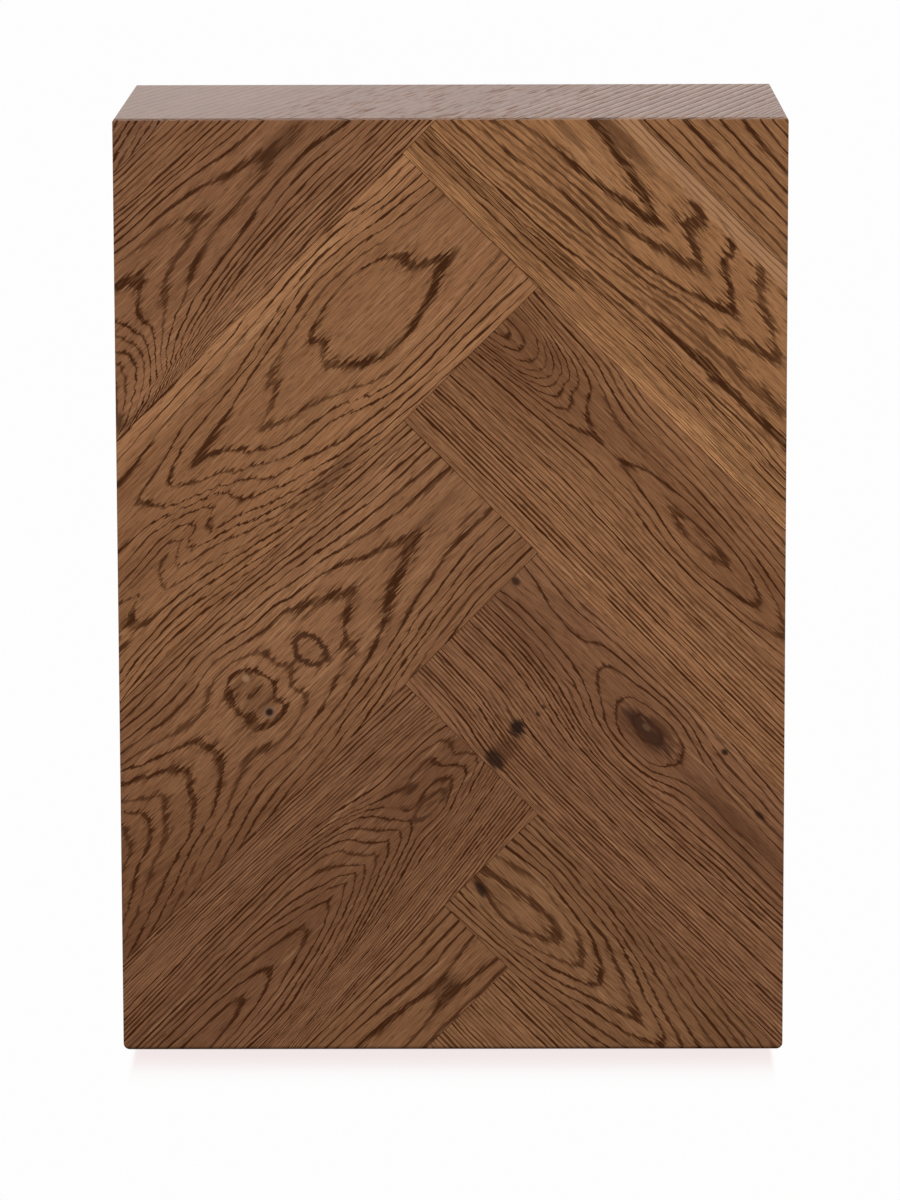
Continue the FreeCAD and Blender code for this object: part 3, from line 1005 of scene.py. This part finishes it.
            (101, 56.5), (88, 62), (72, 66.7), (50, 70.5), (25, 72.5), (0, 72),
        ]),
        (3, [
            (0, 23), (30, 21), (60, 24), (90, 27.5), (105, 34.5), (118, 38.5), (130, 44), (143, 48.5),
            (133, 54), (115, 59.5), (97, 65.3), (80, 70), (50, 74.5), (0, 76),
        ]),
        (4, [
            (0, 17), (30, 16), (60, 18.5), (95, 22), (113, 28), (130, 35), (150, 41), (159, 45),
            (164, 49.5), (157, 55), (142, 61.5), (115, 66.5), (92, 72.5), (60, 77.5), (0, 80),
        ]),
        (5, [(0, 12), (30, 11.5), (75, 15), (110, 22), (138, 31.5), (165, 39.5), (176, 43)]),
        (5, [(150, 68.5), (120, 74), (80, 79.5), (40, 82.5)]),
        (6, [(0, 8.5), (50, 8.5), (90, 12.5), (125, 19.5), (155, 28), (183, 35)]),
        (6, [(142, 76.5), (120, 79.7), (95, 82.5)]),
        (7, [(0, 4.5), (50, 4.8), (90, 8.5), (125, 14), (150, 20), (190, 28)]),
        (8, [(0, 1), (50, 1.5), (90, 5), (120, 9.5), (150, 15), (198, 21)]),
        (9, [(100, 2), (130, 6), (160, 10.5), (203, 16)]),
        (10, [(130, 1), (160, 5.5), (208, 11.5)]),
        (11, [(160, 1), (210, 6)]),
    ],
    "stave_right_4": [
        (0, [(0, 0), (90, 0)]),
        (10, [(0, 27), (50, 27.5), (90, 27)]),
        (20, [(0, 52), (30, 53), (90, 54)]),
        (28, [(0, 74), (90, 76)]),
    ],
}

# Colours of pits and of stain that has run, how ragged spots and loops are, and the half length in
# mm below which a spot has a clean edge
DARK = (0.016, 0.007, 0.004)
SMEAR = (0.06, 0.022, 0.009)
SPOT_RAGGED, LOOP_RAGGED = 1.6, 0.9
SMALL_SPOT = 5.0

# Close, fine lines wander less
STILL_GRAIN = {"Hatch": 3.0, "Tip wander": 3.0, "Side wander": 1.8}

# Finish of each stave: the seed of its grain and the colour of its wood, and where it needs them
# drift and figure: inputs of the groups "grain drift" and "stained oak"
# tone and side tone: (mm along or across, how light)
# spots and loops: (mm along, across), (half length, half width), colour, strength
STAVES = {
    "head_stave_left_2": {"seed": 1.0, "wood": (0.188, 0.083, 0.041)},
    "head_stave_left_1": {
        "seed": 2.0,
        "drift": {"Hatch": 3.0, "Tip wander": 3.0},
        "figure": {"Tip line": 0.11},
        "side tone": ((0, 1.05), (28, 0.95), (52, 0.95), (96, 1.03), (120, 1.3)),
        "wood": (0.213, 0.094, 0.043),
        "spots": [((369, 111), (8, 6), SMEAR, 0.8), ((170, 61), (21, 6.5), SMEAR, 0.55)],
    },
    "stave_left_1": {
        "seed": 3.0,
        "drift": {"Hatch": 11.0},
        "figure": {"Tip line": 0.075},
        "side tone": ((0, 1.28), (9, 1.2), (26, 0.92), (52, 0.93), (80, 0.95), (100, 1.05), (120, 1.1)),
        "wood": (0.250, 0.112, 0.049),
        "tone": ((0, 1.0), (180, 1.0), (300, 0.88), (420, 0.84)),
        "spots": [((178, 113), (34, 6), SMEAR, 0.5)],
    },
    "stave_left_2": {
        "seed": 4.0,
        "drift": {"Hatch": 7.0},
        "figure": {"Tip line": 0.11},
        "side tone": ((0, 1.02), (28, 1.1), (60, 1.05), (84, 0.97), (120, 0.84)),
        "wood": (0.213, 0.095, 0.043),
        "tone": ((0, 1.04), (150, 1.04), (240, 0.88), (330, 0.72), (420, 0.68)),
        "spots": [
            ((193, 57), (11, 14), SMEAR, 0.35),
            ((189, 45.5), (2.6, 2.6), (0.3, 0.17, 0.09), 0.9),
            ((194, 71.5), (4.2, 4.0), (0.2, 0.11, 0.07), 0.8),
            ((194, 71.5), (2.8, 2.6), DARK, 0.95),
            ((15, 73), (14, 1.0), SMEAR, 0.8),
            ((28, 55), (22, 3), SMEAR, 0.35),
            ((159, 60), (6, 1.2), SMEAR, 0.8),
            ((143, 74), (3, 2.0), SMEAR, 0.8),
        ],
        "loops": [((147, 61.5), (8, 11), (0.05, 0.016, 0.006), 0.9)],
    },
    "stave_left_3": {
        "seed": 5.0,
        "figure": {"Tip line": 0.1, "Fine line": 1.0},
        "side tone": (
            (0, 1.05), (14, 1.15), (28, 1.05), (42, 0.92),
            (66, 0.84), (84, 0.94), (100, 1.12), (120, 1.2),
        ),
        "drift": STILL_GRAIN,
        "wood": (0.176, 0.077, 0.036),
        "spots": [
            ((63, 52), (7, 6), (0.16, 0.068, 0.031), 0.7),
            ((46, 51.5), (6, 2.2), SMEAR, 0.9),
            ((46, 48.4), (5, 0.9), SMEAR, 0.8),
            ((37, 63.8), (6, 0.9), SMEAR, 0.9),
            ((45, 67.5), (8, 0.8), SMEAR, 0.6),
        ],
        "loops": [((45, 67), (13, 4.2), SMEAR, 0.8)],
    },
    "stave_left_4": {
        "seed": 6.0,
        "wood": (0.198, 0.089, 0.0395),
        "spots": [((38, 38), (14, 7), SMEAR, 0.5)],
    },
    "head_stave_right_2": {"seed": 7.0, "wood": (0.25, 0.113, 0.047)},
    "head_stave_right_1": {
        "seed": 8.0,
        "drift": {"Hatch": 11.0},
        "figure": {"Tip line": 0.14, "Between": 0.65},
        "side tone": ((0, 1.1), (12, 0.97), (36, 1.03), (52, 0.92), (80, 0.96), (96, 1.04), (120, 1.35)),
        "wood": (0.29, 0.133, 0.0555),
        "spots": [
            ((92, 17), (34, 5.5), SMEAR, 0.55),
            ((64, 37), (17, 3.5), SMEAR, 0.45),
            ((200, 5), (400, 6.5), (0.40, 0.205, 0.1), 0.9),
            ((200, 1), (400, 0.6), SMEAR, 0.7),
            ((200, 4.5), (400, 0.5), SMEAR, 0.55),
            ((200, 8), (400, 0.5), SMEAR, 0.5),
        ],
    },
    "stave_right_1": {
        "seed": 9.0,
        "figure": {"Tip line": 0.1, "Fine line": 1.0},
        "side tone": (
            (0, 1.05), (12, 0.93), (28, 0.7), (42, 0.78),
            (54, 0.9), (66, 0.96), (80, 1.08), (120, 1.1),
        ),
        "drift": STILL_GRAIN,
        "wood": (0.233, 0.104, 0.046),
        "tone": ((0, 0.86), (60, 0.95), (110, 1.03), (250, 0.99), (420, 0.92)),
    },
    "stave_right_2": {
        "seed": 10.0,
        "figure": {"Tip line": 0.06, "Fine line": 1.0},
        "side tone": (
            (0, 1.12), (14, 0.92), (28, 0.8), (42, 0.82),
            (54, 0.96), (70, 1.03), (100, 1.08), (120, 1.06),
        ),
        "drift": STILL_GRAIN,
        "wood": (0.203, 0.0905, 0.043),
        "tone": ((0, 0.99), (110, 0.98), (170, 1.0), (260, 1.0), (420, 0.98)),
        "spots": [
            ((137, 26), (14, 5), SMEAR, 0.7),
            ((129, 36), (25, 7), SMEAR, 0.5),
            ((130, 32), (24, 6), (0.042, 0.016, 0.009), 0.85),
            ((129, 31), (3.4, 1.8), (0.14, 0.07, 0.04), 0.7),
            ((75, 107), (7, 12), SMEAR, 0.55),
            ((71, 90), (5.8, 5.2), DARK, 0.95),
            ((75, 114), (7.5, 5), DARK, 0.8),
            ((73, 68), (2, 1.4), DARK, 0.7),
            ((74, 74), (2, 1.4), DARK, 0.7),
            ((176, 7), (2.6, 2.0), DARK, 0.9),
            ((221, 20.3), (4.5, 2.0), DARK, 0.8),
            ((234, 21), (14, 0.8), SMEAR, 0.7),
            ((3, 23), (3.5, 2.6), DARK, 0.8),
            ((212, 34), (50, 6), SMEAR, 0.45),
            ((212, 45.5), (44, 3.0), SMEAR, 0.35),
        ],
    },
    "stave_right_3": {
        "seed": 11.0,
        "side tone": ((0, 0.98), (16, 0.88), (42, 1.13), (66, 1.02), (120, 1.02)),
        "wood": (0.186, 0.085, 0.038),
        "spots": [((9, 60.5), (6, 3.4), DARK, 0.85)],
    },
    "stave_right_4": {"seed": 12.0, "wood": (0.235, 0.11, 0.05)},
}


# ---------------------------------------------------------------- finishes


def start_material(name):
    material = bpy.data.materials.new(name)
    material.use_nodes = True
    material.node_tree.nodes.clear()
    return material, material.node_tree


# Painted shade: close to the floor the staves darken to a share, between these heights in metres, for the
# shade under the bottom edge
PAINTED_SHADE_HEIGHTS, PAINTED_SHADE_SHARE = (0.0006, 0.0026), 0.35


def make_oak(name, axes, finish, lines):
    """The finish of one board: its own figure, drawn by the shared oak groups."""
    material, tree = start_material(name)
    origin, along_axis, deep_axis, across_axis = axes
    seed = finish["seed"]
    point = add_node(tree, "ShaderNodeTexCoord").outputs["Object"]
    directions = {"Along": along_axis, "Deep": deep_axis, "Across": across_axis}
    board = place_group(tree, board_axes, {"Point": point, "Origin": origin, **directions})["Board"]
    drift = place_group(tree, grain_drift, {"Board": board, "Seed": seed, **finish.get("drift", {})})
    along, across = drift["Along"], drift["Across"]
    if lines:
        ring, slope = draw_rings(tree, along, across, lines)
    else:
        growth = {"Board": board, "Across": across, "Seed": seed, **finish["growth"]}
        growth = place_group(tree, plain_growth, growth)
        ring, slope = growth["Ring"], growth["Slope"]
    tone = 1.0
    if "tone" in finish:
        tone = draw_tone(tree, along, CURVE_LENGTH, finish["tone"])
    if "side tone" in finish:
        tone = multiply(tree, draw_tone(tree, across, BREADTH, finish["side tone"]), tone)
    oak = place_group(
        tree,
        stained_oak,
        {
            "Board": board,
            "Ring": ring,
            "Slope": slope,
            "Fray": drift["Fray"],
            "Tone": tone,
            "Seed": seed,
            "Wood": (*finish["wood"], 1),
            **finish.get("figure", {}),
        },
    )
    colour = oak["Color"]
    plain = add_node(tree, "ShaderNodeSeparateXYZ", inputs={0: board}).outputs
    marks = [(mark, SPOT_RAGGED, 0.0) for mark in finish.get("spots", ())]
    marks += [(mark, LOOP_RAGGED, 1.0) for mark in finish.get("loops", ())]
    for (centre, size, spot, strength), ragged, hollow in marks:
        clean = hollow or size[0] < SMALL_SPOT
        spotted = {
            "Color": colour,
            "Along": plain[0] if clean else along,
            "Across": plain[2] if clean else across,
            "Fray": 0.5 if size[0] < SMALL_SPOT else drift["Fray"],
            "Ragged": ragged,
            "Hollow": hollow,
            "Centre": (*centre, 0),
            "Size": (*size, 1),
            "Spot": (*spot, 1),
            "Strength": strength,
        }
        colour = place_group(tree, oak_spot, spotted)["Color"]
    if lines:
        # Painted shade along the foot of the staves, where the bottom edge faces down
        foot = add_node(tree, "ShaderNodeSeparateXYZ", inputs={0: point}).outputs[2]
        foot = ramp_between(tree, foot, *PAINTED_SHADE_HEIGHTS, PAINTED_SHADE_SHARE, 1.0)
        colour = blend_colours(tree, 1.0, colour, gather(tree, foot, foot, foot), "MULTIPLY")
    height = oak["Fibre height"]
    if not lines:
        height = calculate(tree, "SUBTRACT", height, oak["Line"])
    relief = add_node(
        tree,
        "ShaderNodeBump",
        inputs={"Height": height, "Strength": finish.get("relief", RELIEF), "Distance": RELIEF_DEPTH},
    )
    surface = add_node(
        tree,
        "ShaderNodeBsdfPrincipled",
        inputs={
            "Base Color": colour,
            "Roughness": oak["Roughness"],
            "Normal": relief.outputs["Normal"],
            "IOR": finish.get("gloss", GLOSS),
        },
    )
    if "sheen" in finish:
        sheen = {"Board": board, "Across": across, "Ring": ring, "Seed": seed}
        sheen = place_group(tree, brushed_sheen, sheen)["Sheen"]
        join(tree, sheen, surface.inputs["Coat Weight"])
        surface.inputs["Coat Roughness"].default_value = SHEEN_ROUGHNESS
        surface.inputs["Coat IOR"].default_value = finish["sheen"]
    shown = add_node(tree, "ShaderNodeOutputMaterial")
    join(tree, surface.outputs[0], shown.inputs["Surface"])
    return material


def dress(node, material):
    """Give a CAD node its finish on every material slot."""
    for mesh_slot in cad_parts[node].material_slots:
        mesh_slot.material = material


STAVE_ROWS = ("head_stave_{}_2", "head_stave_{}_1", "stave_{}_1", "stave_{}_2", "stave_{}_3", "stave_{}_4")
HEAD_ROWS = 2


def stave_corners():
    """The inner upper corner of every stave, walked down the zigzag joint."""
    corners = {}
    corner = FIRST_JOINT - HEAD_ROWS * STAVE_WIDTH * (DOWN_RIGHT + DOWN_LEFT)
    for row in STAVE_ROWS:
        for hand, across in (("left", DOWN_RIGHT), ("right", DOWN_LEFT)):
            stave = row.format(hand)
            corners[stave] = corner.copy()
            corner += across * CLOSING_WIDTHS.get(stave, STAVE_WIDTH)
    return corners


for stave, corner in stave_corners().items():
    along, across = (DOWN_LEFT, DOWN_RIGHT) if "left" in stave else (DOWN_RIGHT, DOWN_LEFT)
    axes = (corner, along, INWARD, across)
    dress(stave, make_oak(f"oak {stave}", axes, STAVES[stave], GROWTH_LINES[stave]))

# The top's grain runs slantwise from the front to the back
TOP_ALONG = Vector((0.26, 0.966, 0)).normalized()
TOP_ACROSS = Vector((0.966, -0.26, 0)).normalized()
TOP = {
    "seed": 21.0,
    "wood": (0.185, 0.073, 0.031),
    "growth": {"Pitch": 8.0, "Crowded from": 375.0},
    "sheen": 1.75,
    "relief": 0.15,
    "drift": {"Side wander": 2.5, "Tip wander": 0.0, "Hatch": 0.0},
    "figure": {"Line strength": 0.15, "Streak strength": 0.2, "Pore strength": 0.2},
}
PANEL = {
    "wood": (0.185, 0.082, 0.037),
    "growth": {"Pitch": 7.0, "Sway": 110.0},
    "gloss": 1.25,
}
top_corner = Vector((-HALF_WIDTH, FRONT_Y, TOP_Z))
dress("top_panel", make_oak("oak top", (top_corner, TOP_ALONG, -UP, TOP_ACROSS), TOP, None))

# Plain panels: outer corner, then the directions along the grain, into the board and across
PANEL_SEED = 31
PANEL_AXES = {
    "side_panel_left": (Vector((-HALF_WIDTH, FRONT_Y, TOP_Z)), -UP, RIGHT, INWARD),
    "side_panel_right": (Vector((HALF_WIDTH, FRONT_Y, TOP_Z)), -UP, -RIGHT, INWARD),
    "base_panel": (Vector((-HALF_WIDTH, FRONT_Y, 0)), RIGHT, UP, INWARD),
    "back_panel": (Vector((-HALF_WIDTH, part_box("back_panel")[1][1], TOP_Z)), -UP, -INWARD, RIGHT),
    "backing_board": (Vector((-HALF_WIDTH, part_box("backing_board")[1][1], TOP_Z)), -UP, -INWARD, RIGHT),
}
for seed, (node, axes) in enumerate(PANEL_AXES.items(), start=PANEL_SEED):
    dress(node, make_oak(f"oak {node}", axes, {**PANEL, "seed": seed}, None))


# ---------------------------------------------------------------- studio


FLOOR_REACH = 40.0
# The floor's colour where it only lights, where it is seen, and in the painted shadow, pink as painted
# light thrown back by the wood
FLOOR_LIT, FLOOR_WHITE = (0.9, 0.9, 0.9, 1), (0.986, 0.985, 0.985, 1)
FLOOR_SHADOW = (0.93, 0.5, 0.49, 1)
# The painted shadow: how far under the block's sides it starts, how much shorter it is beside the block,
# how far it reaches in front, how steeply it fades and how much white is left at its darkest
SHADOW_INSET = 0.01
SHADOW_SIDES = 20
SHADOW_REACH = 0.16
SHADOW_FALL = 3.0
SHADOW_WHITE = 0.72
# Light of the room on the block, and what is added where the room itself is seen
ROOM_LIGHT, ROOM_SEEN = 0.65, 0.35

# The camera that took the photo: frame and lens in mm, place in metres, turn in degrees
FRAME_WIDTH, LENS = 36.0, 239.4
CAMERA_PLACE = (0.02536, FRONT_Y - 3.75444, 0.94467)
CAMERA_TURN = (90 - 9.831, 0.1633, 0.3746)
VIEW_END = 200.0


def is_seen(tree):
    """1 for rays that show a thing in the picture or in a reflection, 0 for rays that only light."""
    path = add_node(tree, "ShaderNodeLightPath").outputs
    seen = calculate(tree, "MAXIMUM", path["Is Camera Ray"], path["Is Glossy Ray"])
    return calculate(tree, "MAXIMUM", seen, path["Is Transmission Ray"])


def make_floor():
    """A white floor that keeps the block's shadow near its foot: a patch painted there by distance mixes in
    a pink floor, whose shade comes from real light.
    """
    mesh = bpy.data.meshes.new("studio floor")
    corners = [(x * FLOOR_REACH, y * FLOOR_REACH, 0) for x, y in ((-1, -1), (1, -1), (1, 1), (-1, 1))]
    mesh.from_pydata(corners, [], [(0, 1, 2, 3)])
    floor = bpy.data.objects.new("studio_floor", mesh)
    bpy.context.scene.collection.objects.link(floor)
    material, tree = start_material("white studio floor")
    place = add_node(tree, "ShaderNodeTexCoord").outputs["Object"]
    away = combine_vectors(tree, "ABSOLUTE", place)
    away = combine_vectors(tree, "SUBTRACT", away, (HALF_WIDTH - SHADOW_INSET, -FRONT_Y, 0))
    away = combine_vectors(tree, "MAXIMUM", away, (0, 0, 0))
    away = combine_vectors(tree, "MULTIPLY", away, (SHADOW_SIDES, 1, 0))
    away = calculate(tree, "SQRT", combine_vectors(tree, "DOT_PRODUCT", away, away))
    # Painted shadow: a patch before the foot, set by distance rather than by light
    painted_shadow = calculate(tree, "POWER", ramp_between(tree, away, SHADOW_REACH, 0.0), SHADOW_FALL)
    white_share = ramp_between(tree, painted_shadow, 0.0, 1.0, 1.0, SHADOW_WHITE)
    lit = add_node(tree, "ShaderNodeBsdfDiffuse", inputs={"Color": FLOOR_LIT})
    white = add_node(tree, "ShaderNodeEmission", inputs={"Color": FLOOR_WHITE})
    tinted_shadow = add_node(tree, "ShaderNodeBsdfDiffuse", inputs={"Color": FLOOR_SHADOW})
    shown = add_node(tree, "ShaderNodeMixShader", inputs={"Fac": white_share})
    join(tree, tinted_shadow.outputs[0], shown.inputs[1])
    join(tree, white.outputs[0], shown.inputs[2])
    mixed = add_node(tree, "ShaderNodeMixShader", inputs={"Fac": is_seen(tree)})
    join(tree, lit.outputs[0], mixed.inputs[1])
    join(tree, shown.outputs[0], mixed.inputs[2])
    join(tree, mixed.outputs[0], add_node(tree, "ShaderNodeOutputMaterial").inputs["Surface"])
    mesh.materials.append(material)


def make_world():
    world = bpy.data.worlds.new("soft studio")
    bpy.context.scene.world = world
    world.use_nodes = True
    tree = world.node_tree
    tree.nodes.clear()
    strength = calculate(tree, "MULTIPLY_ADD", is_seen(tree), ROOM_SEEN, ROOM_LIGHT)
    light = add_node(tree, "ShaderNodeBackground", inputs={"Color": (1, 1, 1, 1), "Strength": strength})
    join(tree, light.outputs[0], add_node(tree, "ShaderNodeOutputWorld").inputs["Surface"])


def make_lamp(name, strength, spread, elevation, azimuth):
    lamp = bpy.data.lights.new(name, "SUN")
    lamp.energy = strength
    lamp.angle = math.radians(spread)
    holder = bpy.data.objects.new(name, lamp)
    holder.rotation_euler = (math.radians(90 - elevation), 0, math.radians(azimuth))
    bpy.context.scene.collection.objects.link(holder)


def make_camera():
    lens = bpy.data.cameras.new("photo camera")
    lens.sensor_fit = "HORIZONTAL"
    lens.sensor_width = FRAME_WIDTH
    lens.lens = LENS
    lens.clip_end = VIEW_END
    camera = bpy.data.objects.new("photo camera", lens)
    camera.location = CAMERA_PLACE
    camera.rotation_euler = [math.radians(turn) for turn in CAMERA_TURN]
    bpy.context.scene.collection.objects.link(camera)
    bpy.context.scene.camera = camera


make_floor()
make_world()
make_lamp("front softbox", strength=1.0, spread=25.0, elevation=50.0, azimuth=0.0)
make_camera()
bpy.context.scene.view_settings.view_transform = "Standard"
